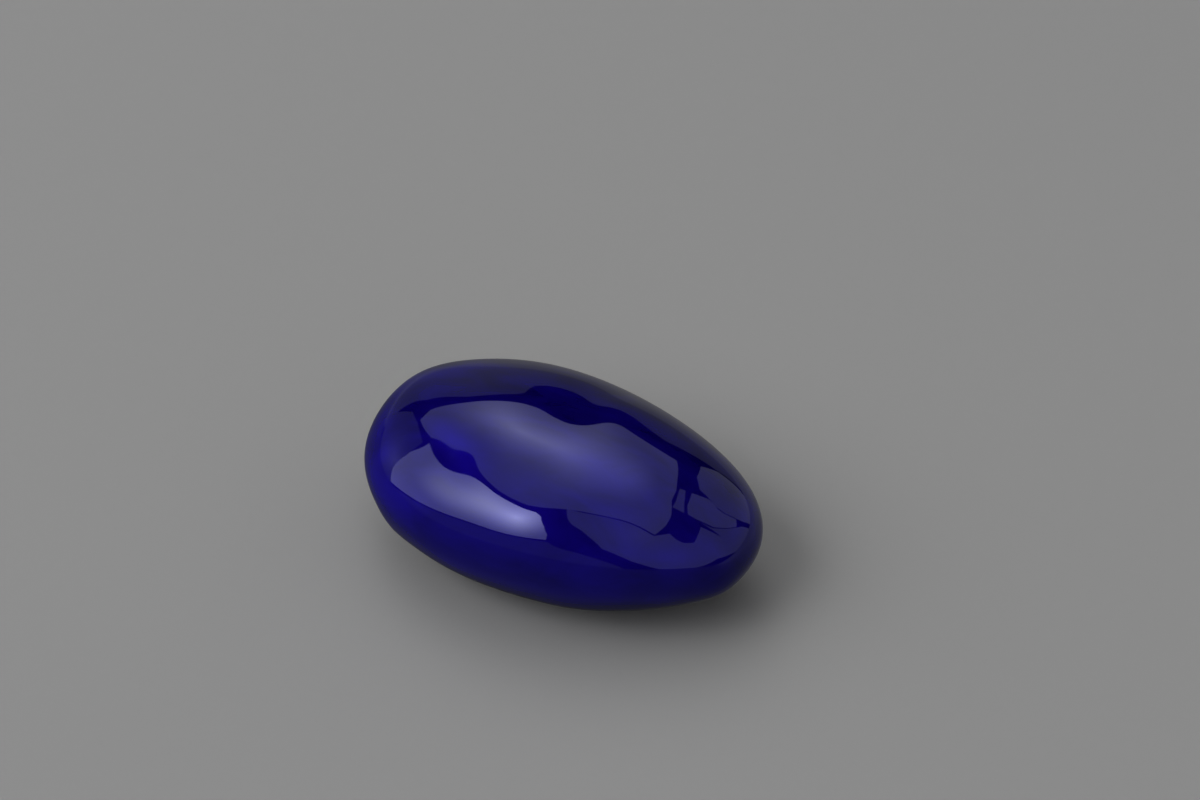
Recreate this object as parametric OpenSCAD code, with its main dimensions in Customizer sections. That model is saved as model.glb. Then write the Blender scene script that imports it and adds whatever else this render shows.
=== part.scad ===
// Pebble-shaped keepsake urn of glazed stoneware, lying on a small flat foot.
// The body is one hollow casting. Its filling hole is in the middle of the foot, and a
// soft stopper closes it from below, sunk so that it clears the table.
// +X runs along the length, +Y across and +Z up. The origin is on the table, under the
// middle of the urn.

/* [Body] */
// Length of the oval that the form is drawn on
body_l = 118; // [100:1:180]
// Width of the same oval
body_w = 74; // [64:1:120]
// Height above the table
body_h = 50; // [44:1:90]
// Thickness of the shell
wall = 4.5; // [3:0.5:6]
// Thickness of the floor around the filling hole
floor_t = 6.5; // [5:0.5:8]
// How far the flat foot cuts into the round underside
foot_cut = 1.8; // [1.4:0.1:3]

/* [Form] */
// Pull of the oval across its diagonal, which gives the pebble its lean
lean = 1.9; // [0:0.1:4]
// Fullness of the oval towards its four corners
fullness = 0.2; // [0:0.1:1.5]
// Three-cornered pull, which rounds one end more than the other
corner_pull = 1.6; // [0:0.1:3]
// Height of the soft swells and hollows that the maker's hand left, as a share of those drawn
swell_scale = 1; // [0:0.1:1.5]

/* [Filling hole and stopper] */
// Bore of the filling hole
hole_d = 15; // [10:0.5:18]
// Width of the shoulder that the stopper's rim seats on
shoulder_w = 2.8; // [2:0.1:3]
// Depth of the recess around the hole
recess_depth = 2.6; // [2.2:0.1:3]
// Thickness of the stopper's rim
rim_t = 2; // [1.2:0.1:2.1]
// Space all round between the stopper and the stoneware
stopper_gap = 0.15; // [0.1:0.05:0.3]
// How far the stopper's plug reaches past the floor into the cavity
plug_reach = 1.5; // [0.5:0.5:3]
// Diameter of the grip hollow under the stopper
grip_d = 9; // [6:0.5:9]
// Depth of the grip hollow
grip_depth = 1.2; // [0.5:0.1:3]

/* [Hidden] */

// Half sizes of the oval, and the height of its middle above the table
half_l = body_l / 2;
half_w = body_w / 2;
half_h = (body_h + foot_cut) / 2;
mid_z = body_h - half_h;

// Divisions round and from top to bottom, outside and inside the shell
outer_n = [72, 36];
inner_n = [48, 24];

// Swells and hollows: place along and across as shares of the half sizes, side of the
// form (1 above, -1 below), then spread and height in millimetres
swells = [
    [-0.80, 0.30, 1, 10, 1.7],
    [-0.52, -0.47, 1, 6, -0.6],
    [-0.31, -0.57, 1, 7, -1.1],
    [-0.02, -0.60, 1, 8, -1.0],
    [0.03, 0.12, 1, 10, -1.3],
    [0.09, -0.91, 1, 8, 1.2],
    [0.24, 0.33, 1, 6, 0.6],
    [0.58, -0.31, 1, 7, 0.6],
    [0.92, -0.36, -1, 5, 1.0],
    [0.32, -0.74, -1, 9, 0.6],
    [-0.64, -0.66, -1, 5, 0.8],
];

far = 2 * body_l;
bore_n = 96;

recess_d = hole_d + 2 * shoulder_w;
rim_d = recess_d - 2 * stopper_gap;
plug_d = hole_d - 2 * stopper_gap;
rim_z = recess_depth - rim_t;
plug_top = floor_t + plug_reach;
edge_r = 0.5;

function total(list, k = 0) = k == len(list) ? 0 : list[k] + total(list, k + 1);

// Unit direction at a longitude and a latitude in degrees
function direction(lon, lat) = [cos(lat) * cos(lon), cos(lat) * sin(lon), sin(lat)];

// Point of the plain oval in a unit direction, and the outward normal there
function oval(u) = [half_l * u.x, half_w * u.y, half_h * u.z];
function outward(u) =
    let (n = [u.x / half_l, u.y / half_w, u.z / half_h])
    n / norm(n);

// Centre of a swell on the plain oval
function swell_centre(s) =
    let (u = [s[0], s[1], s[2] * sqrt(1 - s[0] * s[0] - s[1] * s[1])])
    oval(u);

// Height of all swells together: each falls off with distance as a bell curve
function swell_height(p) = swell_scale * total([
    for (s = swells)
        let (away = norm(p - swell_centre(s)) / s[3])
        s[4] * exp(-away * away / 2)
]);

// How far the finished form stands out from the plain oval
function relief(u) =
    4 * fullness * u.x * u.x * u.y * u.y
    - lean * u.x * u.y
    + corner_pull * (pow(u.x, 3) - 3 * u.x * u.y * u.y)
    + swell_height(oval(u));

// Point of the finished form, a depth below its surface
function form_point(u, depth) = oval(u) + outward(u) * (relief(u) - depth);

function form_points(n, depth) = [
    form_point([0, 0, 1], depth),
    for (j = [1 : n[1] - 1])
        for (i = [0 : n[0] - 1])
            form_point(direction(360 * i / n[0], 90 - 180 * j / n[1]), depth),
    form_point([0, 0, -1], depth),
];

// Triangles over those points: a fan at each pole and split squares between the rings
function form_faces(n) =
    let (
        last = 1 + n[0] * (n[1] - 1),
        at = function (j, i) 1 + n[0] * (j - 1) + i % n[0]
    )
    [
        for (i = [0 : n[0] - 1]) [0, at(1, i + 1), at(1, i)],
        for (j = [1 : n[1] - 2])
            for (i = [0 : n[0] - 1])
                each [
                    [at(j, i), at(j, i + 1), at(j + 1, i + 1)],
                    [at(j, i), at(j + 1, i + 1), at(j + 1, i)],
                ],
        for (i = [0 : n[0] - 1]) [last, at(n[1] - 1, i), at(n[1] - 1, i + 1)],
    ];

// Middle of the form's length and width, so that it stands centred on the origin
outer_points = form_points(outer_n, 0);
function middle(k) =
    let (row = [for (p = outer_points) p[k]])
    (min(row) + max(row)) / 2;
centre = [middle(0), middle(1)];

module form(n, depth) {
    translate([-centre.x, -centre.y, mid_z])
        polyhedron(points = form_points(n, depth), faces = form_faces(n));
}

module above(z) {
    translate([-far / 2, -far / 2, z])
        cube(far);
}

// Stoneware shell, flat below, with a stepped hole up through its floor
module body() {
    color("midnightblue")
        difference() {
            intersection() {
                form(outer_n, 0);
                above(0);
            }
            intersection() {
                form(inner_n, wall);
                above(floor_t);
            }
            translate([0, 0, -1])
                cylinder(d = hole_d, h = floor_t + 2, $fn = bore_n);
            translate([0, 0, -1])
                cylinder(d = recess_d, h = recess_depth + 1, $fn = bore_n);
        }
}

// Stopper turned about the hole's axis: plug, rim and a grip hollow under it
module stopper() {
    color("dimgray")
        rotate_extrude($fn = bore_n)
            polygon([
                [0, rim_z + grip_depth],
                [grip_d / 2 - grip_depth, rim_z + grip_depth],
                [grip_d / 2, rim_z],
                [rim_d / 2 - edge_r, rim_z],
                [rim_d / 2, rim_z + edge_r],
                [rim_d / 2, recess_depth],
                [plug_d / 2, recess_depth],
                [plug_d / 2, plug_top - edge_r],
                [plug_d / 2 - edge_r, plug_top],
                [0, plug_top],
            ]);
}

body();
stopper();
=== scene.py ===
import math

import bpy
import numpy as np
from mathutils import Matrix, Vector


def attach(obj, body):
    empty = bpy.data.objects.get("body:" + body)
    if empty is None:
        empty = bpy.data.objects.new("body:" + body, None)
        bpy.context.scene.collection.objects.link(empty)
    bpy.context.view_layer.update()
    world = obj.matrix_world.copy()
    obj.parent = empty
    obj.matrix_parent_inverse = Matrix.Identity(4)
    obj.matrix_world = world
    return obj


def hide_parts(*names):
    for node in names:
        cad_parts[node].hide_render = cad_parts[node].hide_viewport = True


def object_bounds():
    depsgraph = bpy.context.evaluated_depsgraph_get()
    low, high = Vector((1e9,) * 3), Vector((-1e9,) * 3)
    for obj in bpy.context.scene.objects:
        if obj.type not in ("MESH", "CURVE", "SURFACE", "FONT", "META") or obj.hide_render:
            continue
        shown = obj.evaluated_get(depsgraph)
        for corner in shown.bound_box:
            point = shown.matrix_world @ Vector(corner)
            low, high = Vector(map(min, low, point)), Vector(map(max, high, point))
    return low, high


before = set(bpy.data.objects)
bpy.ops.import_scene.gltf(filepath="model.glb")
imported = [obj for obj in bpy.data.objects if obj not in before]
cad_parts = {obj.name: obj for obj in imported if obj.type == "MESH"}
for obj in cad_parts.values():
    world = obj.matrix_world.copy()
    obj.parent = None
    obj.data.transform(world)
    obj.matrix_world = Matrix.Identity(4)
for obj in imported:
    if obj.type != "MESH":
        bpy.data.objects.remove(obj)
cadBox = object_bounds()
print("stage 1: frame loaded")

mm = 0.001

# the pebble's driving sizes in millimetres, as the solid model has them
pebble = {
    "length": 118.0,
    "width": 74.0,
    "height": 50.0,
    "footCut": 1.8,
    "wall": 4.5,
    "floor": 6.5,
    "lean": 1.9,
    "fullness": 0.2,
    "cornerPull": 1.6,
    # swells and hollows: place along and across as shares, side, spread, height
    "swells": [
        (-0.80, 0.30, 1, 10, 1.7),
        (-0.52, -0.47, 1, 6, -0.6),
        (-0.31, -0.57, 1, 7, -1.1),
        (-0.02, -0.60, 1, 8, -1.0),
        (0.03, 0.12, 1, 10, -1.3),
        (0.09, -0.91, 1, 8, 1.2),
        (0.24, 0.33, 1, 6, 0.6),
        (0.58, -0.31, 1, 7, 0.6),
        (0.92, -0.36, -1, 5, 1.0),
        (0.32, -0.74, -1, 9, 0.6),
        (-0.64, -0.66, -1, 5, 0.8),
    ],
    "holeBore": 15.0,
    "recessBore": 20.6,
    "recessDepth": 2.6,
    # softening of the edges of the recess and the hole, which only this mesh has
    "edgeRound": 0.5,
    # divisions of the mesh: round it, and in rings on each stretch of the skin
    "around": 256,
    "ringsOutside": 190,
    "ringsFoot": 12,
    "ringsFloor": 8,
    "ringsInside": 60,
}


def linearColour(hexText):
    # sRGB hex to linear: the standard curve, one channel at a time
    srgb = np.array([int(hexText[i:i + 2], 16) for i in (1, 3, 5)]) / 255.0
    linear = np.where(srgb <= 0.04045, srgb / 12.92, ((srgb + 0.055) / 1.055) ** 2.4)
    return (*linear.tolist(), 1.0)


def addNode(tree, kind, settings=None, inputs=None):
    # one node with its settings; an input is a value, or a socket to link from
    node = tree.nodes.new(kind)
    for name, value in (settings or {}).items():
        setattr(node, name, value)
    for name, value in (inputs or {}).items():
        socket = node.inputs[name]
        if isinstance(value, bpy.types.NodeSocket):
            tree.links.new(value, socket)
        else:
            socket.default_value = value
    return node


def newMaterial(name):
    material = bpy.data.materials.new(name)
    material.use_nodes = True
    material.node_tree.nodes.clear()
    return material, material.node_tree


def meshFromGrid(name, points):
    # points is rings x around x 3; the first and last rings are single points repeated
    rings, around = points.shape[:2]
    body = points[1:-1].reshape(-1, 3)
    verts = np.concatenate([points[0, :1], body, points[-1, :1]])
    j, i = np.meshgrid(np.arange(rings - 3), np.arange(around), indexing="ij")
    nextI = (i + 1) % around
    a = 1 + j * around + i
    b = 1 + j * around + nextI
    quads = np.stack([a, a + around, b + around, b], -1).reshape(-1, 4)
    ring = np.arange(around)
    nextRing = (ring + 1) % around
    lastStart = 1 + (rings - 3) * around
    top = np.stack([np.zeros(around, int), 1 + ring, 1 + nextRing], -1)
    bottom = np.stack([np.full(around, len(verts) - 1), lastStart + nextRing, lastStart + ring], -1)
    mesh = bpy.data.meshes.new(name)
    loops = np.concatenate([top.ravel(), quads.ravel(), bottom.ravel()])
    sizes = np.concatenate([np.full(around, 3), np.full(len(quads), 4), np.full(around, 3)])
    mesh.vertices.add(len(verts))
    mesh.vertices.foreach_set("co", (verts * mm).astype(np.float32).ravel())
    mesh.loops.add(len(loops))
    mesh.loops.foreach_set("vertex_index", loops.astype(np.int32))
    mesh.polygons.add(len(sizes))
    mesh.polygons.foreach_set("loop_start", (np.cumsum(sizes) - sizes).astype(np.int32))
    mesh.update(calc_edges=True)
    mesh.validate()
    mesh.shade_smooth()
    piece = bpy.data.objects.new(name, mesh)
    bpy.context.scene.collection.objects.link(piece)
    return piece


halfSizes = np.array([pebble["length"], pebble["width"], pebble["height"] + pebble["footCut"]]) / 2
middleZ = pebble["height"] - halfSizes[2]


def formPoints(lon, lat, depth=0.0):
    # oval point at a longitude and latitude, moved along its normal by the relief less the depth:
    # relief = fullness 4x2y2 - lean xy + cornerPull (x3 - 3xy2) + one bell curve for each swell
    u = np.stack([np.cos(lat) * np.cos(lon), np.cos(lat) * np.sin(lon), np.sin(lat) + 0 * lon], -1)
    x, y = u[..., 0], u[..., 1]
    oval = u * halfSizes
    out = u / halfSizes
    out = out / np.linalg.norm(out, axis=-1, keepdims=True)
    relief = (4 * pebble["fullness"] * x ** 2 * y ** 2 - pebble["lean"] * x * y
              + pebble["cornerPull"] * (x ** 3 - 3 * x * y ** 2))
    for along, across, side, spread, height in pebble["swells"]:
        centre = halfSizes * (along, across, side * math.sqrt(1 - along ** 2 - across ** 2))
        relief = relief + height * np.exp(-((oval - centre) ** 2).sum(-1) / (2 * spread ** 2))
    return oval + out * (relief - depth)[..., None] + (0, 0, middleZ)


# how light the blue of the glaze is, with painted light and shade in it: lighter toward the
# front and darker toward the back, with streaks of painted glow and, up the back, painted shade.
# Streaks: place along and across as shares, side, turn in degrees, reach along and across the
# streak in millimetres, and strength (below zero for painted shade)
glazePaintedLightAndClouds = {
    "plain": 0.31,
    "paintedFrontLight": 0.36,
    "cloudDepth": 0.85,
    "paintedLightStreaks": [
        (-0.66, -0.72, 1, -29, 9, 3.0, 0.55),
        (-0.38, -0.44, 1, -25, 9, 2.5, 0.55),
        (0.75, -0.57, 1, 25, 9, 2.5, 0.44),
        (0.70, -0.70, -1, 28, 12, 2.0, 0.33),
        (0.40, -0.90, -1, 10, 8, 5.0, 0.26),
        (0.36, -0.31, 1, -8, 12, 3.0, 0.26),
        (-0.75, -0.51, 1, 70, 5, 2.5, 0.36),
        (-0.12, -0.98, -1, -3, 16, 1.5, 0.23),
        (-0.85, -0.25, 1, 100, 5, 3.0, 0.26),
        (0.94, 0.00, 1, 95, 7, 2.0, 0.33),
        (-0.62, 0.30, 1, 20, 7, 2.5, 0.21),
        (-0.86, 0.10, 1, 60, 6, 2.5, 0.21),
        (0.00, -0.99, -1, 0, 20, 4.0, 0.16),
        (0.45, 0.60, 1, 8, 14, 5.0, -0.12),
        (-0.35, 0.75, 1, -6, 12, 4.0, -0.10),
    ],
}


def paintedGlazeLight(places):
    # places in millimetres, counted from the middle of the form. A streak is a bell curve
    # with one reach along its line and another to every side of it
    # painted light: the front drawn lighter and the back darker, as the light falls on the form
    lightness = glazePaintedLightAndClouds["plain"] - glazePaintedLightAndClouds["paintedFrontLight"] * places[:, 1] / halfSizes[1]
    # each streak adds a patch of painted glow, or painted shade where its strength is below zero
    for along, across, side, turn, reachAlong, reachAcross, strength in glazePaintedLightAndClouds["paintedLightStreaks"]:
        centre = halfSizes * (along, across, side * math.sqrt(1 - along ** 2 - across ** 2))
        offset = places - centre
        line = np.array([math.cos(math.radians(turn)), math.sin(math.radians(turn)), 0.0])
        onLine = offset @ line
        offLine = (offset ** 2).sum(-1) - onLine ** 2
        lightness += strength * np.exp(-(onLine / reachAlong) ** 2 / 2 - offLine / (2 * reachAcross ** 2))
    return np.clip(lightness, 0, 1)


def latitudeAt(lon, height, depth):
    # the latitude on the lower half where the form is at that height, found by halving
    low, high = np.full_like(lon, -math.pi / 2), np.zeros_like(lon)
    for _ in range(40):
        mid = (low + high) / 2
        below = formPoints(lon, mid, depth)[..., 2] < height
        low, high = np.where(below, mid, low), np.where(below, high, mid)
    return (low + high) / 2


def crownToHeight(count, height, depth):
    # rings of the form from its crown down to a level cut, evenly spaced in latitude
    lon = np.arange(pebble["around"]) * 2 * math.pi / pebble["around"]
    last = latitudeAt(lon, height, depth)
    share = np.linspace(0, 1, count)[:, None]
    lat = math.pi / 2 + (last - math.pi / 2) * share
    return formPoints(np.broadcast_to(lon, lat.shape), lat, depth)


def roundRings(angles, profile):
    # rings about the hole's axis, one for each (radius, height) of a profile
    profile = np.array(profile)
    ring = np.stack([np.cos(angles), np.sin(angles)], -1)
    flat = profile[:, :1, None] * ring[None]
    tall = np.broadcast_to(profile[:, 1:, None], flat.shape[:2] + (1,))
    return np.concatenate([flat, tall], -1)


def roundCorner(centre, radius, start, end, steps=5):
    # a quarter turn about a centre in (radius, height), as the profile of a rounded edge
    turn = np.radians(np.linspace(start, end, steps))
    return [(centre[0] + radius * math.cos(t), centre[1] + radius * math.sin(t)) for t in turn]


def between(first, last, count):
    # rings spaced evenly between two rings: first (1 - share) + last share
    share = np.linspace(0, 1, count + 2)[1:-1, None, None]
    return first[None] * (1 - share) + last[None] * share


def makeBody():
    # one closed skin: crown, outside, foot, recess, bore, floor, inside wall, inner crown
    outside = crownToHeight(pebble["ringsOutside"], 0.0, 0.0)
    middle = (outside.reshape(-1, 3).min(0) + outside.reshape(-1, 3).max(0)) / 2
    shift = np.array([middle[0], middle[1], 0.0])
    outside = outside - shift
    inside = crownToHeight(pebble["ringsInside"], pebble["floor"], pebble["wall"])[::-1] - shift
    angles = np.arctan2(outside[-1, :, 1], outside[-1, :, 0])
    hole, recess = pebble["holeBore"] / 2, pebble["recessBore"] / 2
    deep, floor, soft = pebble["recessDepth"], pebble["floor"], pebble["edgeRound"]
    profile = ([(recess + soft, 0)] + roundCorner((recess + soft, soft), soft, 270, 180)[1:]
               + [(recess, deep), (hole, deep), (hole, floor - soft)]
               + roundCorner((hole + soft, floor - soft), soft, 180, 90)[1:])
    neck = roundRings(angles, profile)
    foot = between(outside[-1], neck[0], pebble["ringsFoot"])
    floorRings = between(neck[-1], inside[0], pebble["ringsFloor"])
    points = np.concatenate([outside, foot, neck, floorRings, inside])
    piece = meshFromGrid("glazed_body", points)
    places = np.empty(len(piece.data.vertices) * 3, np.float32)
    piece.data.vertices.foreach_get("co", places)
    places = places.reshape(-1, 3) / mm + shift - (0, 0, middleZ)
    # the glaze's painted light and shade, kept on each point of the skin
    paintedLight = piece.data.attributes.new("paintedGlazeLight", "FLOAT", "POINT")
    paintedLight.data.foreach_set("value", paintedGlazeLight(places).astype(np.float32))
    # the second material, bare clay, takes over where the outside ends
    bare = np.ones(len(piece.data.polygons), np.int32)
    bare[:pebble["around"] * (pebble["ringsOutside"] - 1)] = 0
    piece.data.polygons.foreach_set("material_index", bare)
    return piece


# the stopper's driving sizes in millimetres
stopper = {
    "rimBore": 20.3,
    "rimThickness": 2.0,
    "plugBore": 14.7,
    "reach": 1.5,
    "gripBore": 9.0,
    "gripDepth": 1.2,
    "edgeRound": 0.5,
    "around": 128,
}


def makeStopper():
    # a profile turned about the hole's axis: plug, rim and the grip hollow under it
    s, soft = stopper, stopper["edgeRound"]
    angles = np.arange(s["around"]) * 2 * math.pi / s["around"]
    rim, plug, grip = s["rimBore"] / 2, s["plugBore"] / 2, s["gripBore"] / 2
    low = pebble["recessDepth"] - s["rimThickness"]
    top = pebble["floor"] + s["reach"]
    profile = ([(0, top), (plug - soft, top)] + roundCorner((plug - soft, top - soft), soft, 90, 0)[1:]
               + [(plug, pebble["recessDepth"]), (rim, pebble["recessDepth"])]
               + roundCorner((rim - soft, low + soft), soft, 0, -90)
               + [(grip, low), (grip - s["gripDepth"], low + s["gripDepth"]), (0, low + s["gripDepth"])])
    return meshFromGrid("stopper_moulding", roundRings(angles, profile))


def makeGlaze():
    # glazed stoneware: a cobalt glass fused on in the kiln. The eye gets a deep pure blue that
    # clouds at random, with painted light and shade on top (a lighter front, streaks of painted
    # glow), under mirror reflections faintly tinted by the blue
    material, tree = newMaterial("cobalt_glaze_on_stoneware")
    place = addNode(tree, "ShaderNodeTexCoord")
    drawnOut = addNode(tree, "ShaderNodeMapping", {}, {
        "Vector": place.outputs["Object"], "Scale": (0.5, 1.2, 1.0), "Rotation": (0, 0, math.radians(12))})
    clouds = addNode(tree, "ShaderNodeTexNoise", {}, {
        "Vector": drawnOut.outputs["Vector"], "Scale": 110.0, "Detail": 3.0, "Roughness": 0.55,
        "Distortion": 0.6})
    # the painted light and shade of the glaze, read from the points
    paintedLight = addNode(tree, "ShaderNodeAttribute", {"attribute_name": "paintedGlazeLight"})
    # level = painted light + cloudDepth (clouds - 1/2): the painted light and shade plus random clouds
    cloudy = addNode(tree, "ShaderNodeMath", {"operation": "MULTIPLY_ADD"}, {
        0: clouds.outputs["Fac"], 1: glazePaintedLightAndClouds["cloudDepth"], 2: paintedLight.outputs["Fac"]})
    level = addNode(tree, "ShaderNodeMath", {"operation": "SUBTRACT"}, {
        0: cloudy.outputs["Value"], 1: glazePaintedLightAndClouds["cloudDepth"] / 2})
    colour = addNode(tree, "ShaderNodeValToRGB", {}, {"Fac": level.outputs["Value"]})
    # from the deepest blue, where painted shade falls, to the lighter blue of the painted glow
    colour.color_ramp.elements[0].color = linearColour("#050138")
    colour.color_ramp.elements[1].color = linearColour("#180889")
    gloss = addNode(tree, "ShaderNodeMapRange", {}, {
        "Value": clouds.outputs["Fac"], "To Min": 0.012, "To Max": 0.035})
    shader = addNode(tree, "ShaderNodeBsdfPrincipled", {}, {
        "Base Color": colour.outputs["Color"], "Roughness": gloss.outputs["Result"], "IOR": 1.69,
        "Specular Tint": linearColour("#d0d4ff")})
    addNode(tree, "ShaderNodeOutputMaterial", {}, {"Surface": shader.outputs["BSDF"]})
    return material


def makeBareClay():
    # unglazed stoneware, wiped clean before firing: pale buff, dry and faintly sandy
    material, tree = newMaterial("bare_fired_stoneware")
    place = addNode(tree, "ShaderNodeTexCoord")
    grain = addNode(tree, "ShaderNodeTexNoise", {}, {
        "Vector": place.outputs["Object"], "Scale": 1400.0, "Detail": 2.0})
    colour = addNode(tree, "ShaderNodeValToRGB", {}, {"Fac": grain.outputs["Fac"]})
    colour.color_ramp.elements[0].color = linearColour("#b9ab97")
    colour.color_ramp.elements[1].color = linearColour("#d8cdbb")
    bump = addNode(tree, "ShaderNodeBump", {}, {
        "Height": grain.outputs["Fac"], "Strength": 0.4, "Distance": 0.0001})
    shader = addNode(tree, "ShaderNodeBsdfPrincipled", {}, {
        "Base Color": colour.outputs["Color"], "Roughness": 0.85, "Normal": bump.outputs["Normal"]})
    addNode(tree, "ShaderNodeOutputMaterial", {}, {"Surface": shader.outputs["BSDF"]})
    return material


def makeRubber():
    # moulded rubber: dark grey, soft sheen, a fine bloom of dust
    material, tree = newMaterial("moulded_rubber")
    place = addNode(tree, "ShaderNodeTexCoord")
    bloom = addNode(tree, "ShaderNodeTexNoise", {}, {
        "Vector": place.outputs["Object"], "Scale": 500.0, "Detail": 3.0})
    colour = addNode(tree, "ShaderNodeValToRGB", {}, {"Fac": bloom.outputs["Fac"]})
    colour.color_ramp.elements[0].color = linearColour("#2b2b2d")
    colour.color_ramp.elements[1].color = linearColour("#3c3c3f")
    shader = addNode(tree, "ShaderNodeBsdfPrincipled", {}, {
        "Base Color": colour.outputs["Color"], "Roughness": 0.6, "IOR": 1.52})
    addNode(tree, "ShaderNodeOutputMaterial", {}, {"Surface": shader.outputs["BSDF"]})
    return material


body = makeBody()
body.data.materials.append(makeGlaze())
body.data.materials.append(makeBareClay())
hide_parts("body")
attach(body, "root")
print("stage 2: body", len(body.data.polygons), "faces")

plug = makeStopper()
plug.data.materials.append(makeRubber())
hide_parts("stopper")
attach(plug, "root")
print("stage 3: stopper", len(plug.data.polygons), "faces")

# where the camera stands: degrees round from the front and above the table, metres from the
# middle of the urn's box, then the urn's place in the frame
cameraSetup = {
    "azimuth": 24.5,
    "elevation": 41.0,
    "distance": 0.588,
    "lens": 63.3,
    "sensor": 36.0,
    "clipStart": 0.01,
    "frameAspect": 1.5,
    "leftShare": 0.0324,   # how far left of centre the urn sits, as a share of the frame's width
    "lowShare": 0.1053,    # how far below centre, as a share of the frame's height
}
azimuth = math.radians(cameraSetup["azimuth"])
elevation = math.radians(cameraSetup["elevation"])
toRight = np.array([math.cos(azimuth), math.sin(azimuth), 0.0])
toAway = np.array([-math.sin(azimuth), math.cos(azimuth), 0.0])
toUp = np.array([0.0, 0.0, 1.0])


def fromCamera(right, away, up):
    # places given as the camera sees them: to the right, away, and up
    return np.stack([right, away, up], -1) @ np.stack([toRight, toAway, toUp])


def makePolygon(name, corners, material, flatPlace=None):
    # one flat many-cornered sheet; flatPlace gives each corner its place on the sheet
    mesh = bpy.data.meshes.new(name)
    mesh.from_pydata(np.array(corners, float).tolist(), [], [list(range(len(corners)))])
    if flatPlace is not None:
        mesh.uv_layers.new(name="UVMap").data.foreach_set("uv", np.array(flatPlace, float).ravel())
    mesh.materials.append(material)
    sheet = bpy.data.objects.new(name, mesh)
    bpy.context.scene.collection.objects.link(sheet)
    return sheet


floorSetup = {"halfSize": 6.0, "depth": 0.0, "colour": "#989898"}


def floorCorners(facts):
    half, low = facts["halfSize"], -facts["depth"]
    return [(-half, -half, low), (half, -half, low), (half, half, low), (-half, half, low)]


def makeFloor():
    # matt painted board
    material, tree = newMaterial("matt_pale_board")
    board = addNode(tree, "ShaderNodeBsdfPrincipled", {}, {
        "Base Color": linearColour(floorSetup["colour"]), "Roughness": 0.9, "Specular IOR Level": 0.2})
    # seen from below the board is clear, so the urn's foot can be looked at
    side = addNode(tree, "ShaderNodeNewGeometry")
    clear = addNode(tree, "ShaderNodeBsdfTransparent")
    shader = addNode(tree, "ShaderNodeMixShader", {}, {
        0: side.outputs["Backfacing"], 1: board.outputs["BSDF"], 2: clear.outputs["BSDF"]})
    addNode(tree, "ShaderNodeOutputMaterial", {}, {"Surface": shader.outputs["Shader"]})
    floor = makePolygon("floor", floorCorners(floorSetup), material)
    floor.visible_glossy = floor.visible_diffuse = floor.visible_shadow = False


# what lights and is mirrored by the urn's underside, in place of the board: a sheet just under
# it, dim near the urn and brighter away from it, behind and to the right. The shaded oval, its
# half sizes in metres, is the ground under the urn; shadedEdge is where its shade fades out
bounceSetup = {
    "halfSize": floorSetup["halfSize"],
    "depth": 0.002,
    "near": 0.10,
    "far": 0.28,
    "reach": 0.14,
    "turn": 45.0,
    "shadedShare": 0.3,
    "shadedOval": (0.059, 0.037, 1.0),
    "shadedEdge": (0.6, 1.1),
}


def makeFloorBounce():
    # light = (near to far along the turned axis) times (the shade inside the oval)
    facts = bounceSetup
    material, tree = newMaterial("dim_floor_light")
    place = addNode(tree, "ShaderNodeTexCoord")
    turned = addNode(tree, "ShaderNodeMapping", {}, {
        "Vector": place.outputs["Object"], "Rotation": (0, 0, -azimuth - math.radians(facts["turn"]))})
    along = addNode(tree, "ShaderNodeSeparateXYZ", {}, {"Vector": turned.outputs["Vector"]})
    level = addNode(tree, "ShaderNodeMapRange", {}, {
        "Value": along.outputs["X"], "From Min": 0.0, "From Max": facts["reach"],
        "To Min": facts["near"], "To Max": facts["far"]})
    oval = addNode(tree, "ShaderNodeMapping", {}, {
        "Vector": place.outputs["Object"], "Scale": [1 / half for half in facts["shadedOval"]]})
    distance = addNode(tree, "ShaderNodeVectorMath", {"operation": "LENGTH"}, {0: oval.outputs["Vector"]})
    shade = addNode(tree, "ShaderNodeMapRange", {}, {
        "Value": distance.outputs["Value"], "From Min": facts["shadedEdge"][0],
        "From Max": facts["shadedEdge"][1], "To Min": facts["shadedShare"], "To Max": 1.0})
    light = addNode(tree, "ShaderNodeMath", {"operation": "MULTIPLY"}, {
        0: level.outputs["Result"], 1: shade.outputs["Result"]})
    glow = addNode(tree, "ShaderNodeEmission", {}, {"Strength": light.outputs["Value"]})
    addNode(tree, "ShaderNodeOutputMaterial", {}, {"Surface": glow.outputs["Emission"]})
    bounce = makePolygon("floor_bounce", floorCorners(facts), material)
    bounce.visible_camera = bounce.visible_shadow = False


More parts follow.
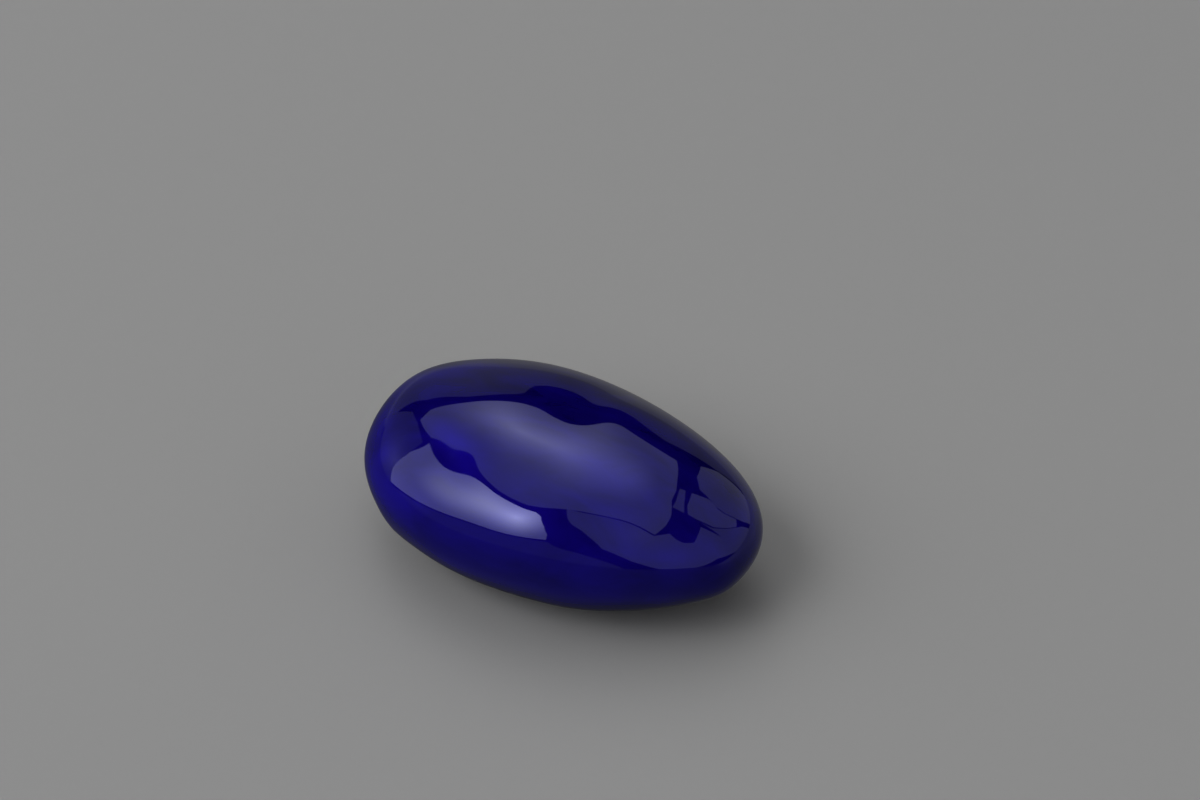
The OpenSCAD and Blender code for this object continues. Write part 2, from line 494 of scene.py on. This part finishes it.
# light panels round the urn, with outlines and glows shaped for what the glaze mirrors. Each is
# flat, its corners given as (azimuth clockwise from straight behind the urn, elevation) in
# degrees. Where a panel has a brighter patch, hot is its direction, spread its reach sideways
# and upward as tangents, and gain how much brighter the panel is there
panelDistance = 5.0
lightPanels = {
    "overhead": {
        "corners": [(-46, 31), (-38, 30), (-19, 34.5), (0, 38), (20, 37), (32, 35.5), (48, 50),
                    (64, 57), (90, 63), (126, 59), (146, 53), (163, 45), (180, 58), (-153, 66),
                    (-104, 64.6), (-86, 60.4), (-72, 53), (-59, 41)],
        "strength": 0.65, "hot": (-17, 57), "spread": (0.58, 1.0), "gain": 3.6},
    "left_window": {
        "corners": [(-81, 1), (-75, 12), (-65, 33.5), (-60.5, 41.5), (-72.5, 50.5), (-86.7, 58),
                    (-105, 61.8), (-127, 63.5), (-139, 61), (-154, 50), (-161, 38), (-162, 30),
                    (-144, 28), (-124, 22), (-102, 11)],
        "strength": 1.3, "hot": (-121, 53), "spread": (0.75, 0.65), "gain": 5.0},
    "front_screen": {
        "corners": [(-148, 67), (-166, 46), (-171, 26), (180, 12), (170, 1), (150, 0), (130, 8),
                    (119, 5), (110, 28), (115, 46), (128, 41), (138, 35), (146, 36), (149, 40),
                    (150, 46), (164, 44), (180, 57), (-160, 64)],
        "strength": 0.50, "hot": (172, 45), "spread": (0.5, 0.5), "gain": 0.3},
    "right_front_screen": {
        "corners": [(119, 5), (94, -4), (72, -6), (81, 13), (97, 30), (107, 40), (109, 48), (110, 28)],
        "strength": 0.46},
    "right_strip": {
        "corners": [(64, 50), (67, 43), (76, 40), (79, 35), (78, 22), (86, 20), (96, 30),
                    (105, 40), (107, 51), (106, 55), (90, 56)],
        "strength": 0.58},
    "inner_right_strip": {
        "corners": [(60, 54), (62, 52), (90, 57.2), (107, 56.5), (107, 62), (90, 61)],
        "strength": 0.50},
    "right_screen": {
        "corners": [(36, 25), (37, 14), (43, 3), (52, -6), (67, -7), (75, 13), (77, 21), (78, 34),
                    (74, 41), (57, 44), (44, 37)],
        "strength": 0.50},
    "left_screen": {
        "corners": [(-41, 2), (-41, 22), (-48, 31), (-60, 40), (-67, 31), (-75, 12), (-82, -2)],
        "strength": 0.17, "hot": (-71, 19), "spread": (0.5, 0.5), "gain": 2.6},
    "backdrop": {
        "corners": [(-46, -2), (-38, 15), (-33, 24), (-21, 30), (-4, 32), (-1, 31), (0.5, 27),
                    (1.5, 24.5), (4, 23), (8, 22), (17, 23.5), (24, 25), (36, 14), (43, -2)],
        "strength": 0.20, "hot": (-15, 20), "spread": (0.7, 0.7), "gain": 0.4},
    "low_left_wall": {
        "corners": [(-81, -2), (-102, 9), (-124, 20), (-144, 26), (-163, 27), (-168, 14), (-176, 2),
                    (-176, -2), (-130, -2)],
        "strength": 0.18},
}


def towards(azimuth, elevation):
    # the unit direction at an azimuth and an elevation in degrees
    azimuth, elevation = np.radians(azimuth), np.radians(elevation)
    return fromCamera(np.cos(elevation) * np.sin(azimuth), np.cos(elevation) * np.cos(azimuth),
                      np.sin(elevation))


def toSheet(azimuth, elevation, middle):
    # where a direction meets the flat sheet that faces the urn from the middle direction:
    # the point itself, and its place sideways and upward on the sheet
    way = towards(azimuth, elevation)
    point = panelDistance * way / (way @ middle)[..., None]
    sideways = np.cross(middle, toUp)
    sideways /= np.linalg.norm(sideways)
    axes = np.stack([sideways, np.cross(sideways, middle)])
    return point, point @ axes.T / panelDistance


def panelGlow(tree, facts, middle):
    # strength (1 + gain (1 - r)^2), with r the distance from the hot direction in spreads
    hot = toSheet(*facts["hot"], middle)[1]
    spread = np.array(facts["spread"])
    place = addNode(tree, "ShaderNodeUVMap")
    spot = addNode(tree, "ShaderNodeMapping", {}, {
        "Vector": place.outputs["UV"], "Location": (*(-hot / spread), 0), "Scale": (*(1 / spread), 1)})
    glow = addNode(tree, "ShaderNodeTexGradient", {"gradient_type": "QUADRATIC_SPHERE"}, {
        "Vector": spot.outputs["Vector"]})
    level = addNode(tree, "ShaderNodeMath", {"operation": "MULTIPLY_ADD"}, {
        0: glow.outputs["Fac"], 1: facts["gain"] * facts["strength"], 2: facts["strength"]})
    return level.outputs["Value"]


def makePanel(name, facts):
    # a flat panel that glows evenly, or with one soft brighter patch
    azimuths, elevations = np.array(facts["corners"], float).T
    middle = towards(azimuths, elevations).mean(0)
    middle /= np.linalg.norm(middle)
    corners, flatPlace = toSheet(azimuths, elevations, middle)
    material, tree = newMaterial("diffused_light_" + name)
    strength = panelGlow(tree, facts, middle) if "hot" in facts else facts["strength"]
    light = addNode(tree, "ShaderNodeEmission", {}, {"Strength": strength})
    addNode(tree, "ShaderNodeOutputMaterial", {}, {"Surface": light.outputs["Emission"]})
    panel = makePolygon(name, corners, material, flatPlace)
    panel.visible_camera = False


makeFloor()
makeFloorBounce()
for name, facts in lightPanels.items():
    makePanel(name, facts)

world = bpy.data.worlds.new("studio")
bpy.context.scene.world = world
world.use_nodes = True
# a pale surround where a low view looks past the floor; it lights nothing
world.node_tree.nodes["Background"].inputs["Color"].default_value = linearColour("#a8a8a8")
for ray in ("diffuse", "glossy", "transmission", "scatter"):
    setattr(world.cycles_visibility, ray, False)
bpy.context.scene.view_settings.view_transform = "Standard"
bpy.context.scene.view_settings.gamma = 0.85   # slightly deepened contrast
print("stage 4: floor and", len(lightPanels), "light panels")

boxMiddle = (np.array(cadBox[0]) + np.array(cadBox[1])) / 2
back = fromCamera(0.0, -math.cos(elevation), math.sin(elevation))
cameraUp = np.cross(toRight, -back)
viewWidth = cameraSetup["distance"] * cameraSetup["sensor"] / cameraSetup["lens"]
viewHeight = viewWidth / cameraSetup["frameAspect"]
stand = (boxMiddle + back * cameraSetup["distance"] + toRight * cameraSetup["leftShare"] * viewWidth
         + cameraUp * cameraSetup["lowShare"] * viewHeight)
lens = bpy.data.cameras.new("camera")
lens.lens = cameraSetup["lens"]
lens.sensor_width = cameraSetup["sensor"]
lens.clip_start = cameraSetup["clipStart"]
camera = bpy.data.objects.new("camera", lens)
camera.location = stand
camera.rotation_mode = "QUATERNION"
camera.rotation_quaternion = Vector(-back).to_track_quat("-Z", "Y")
bpy.context.scene.collection.objects.link(camera)
bpy.context.scene.camera = camera
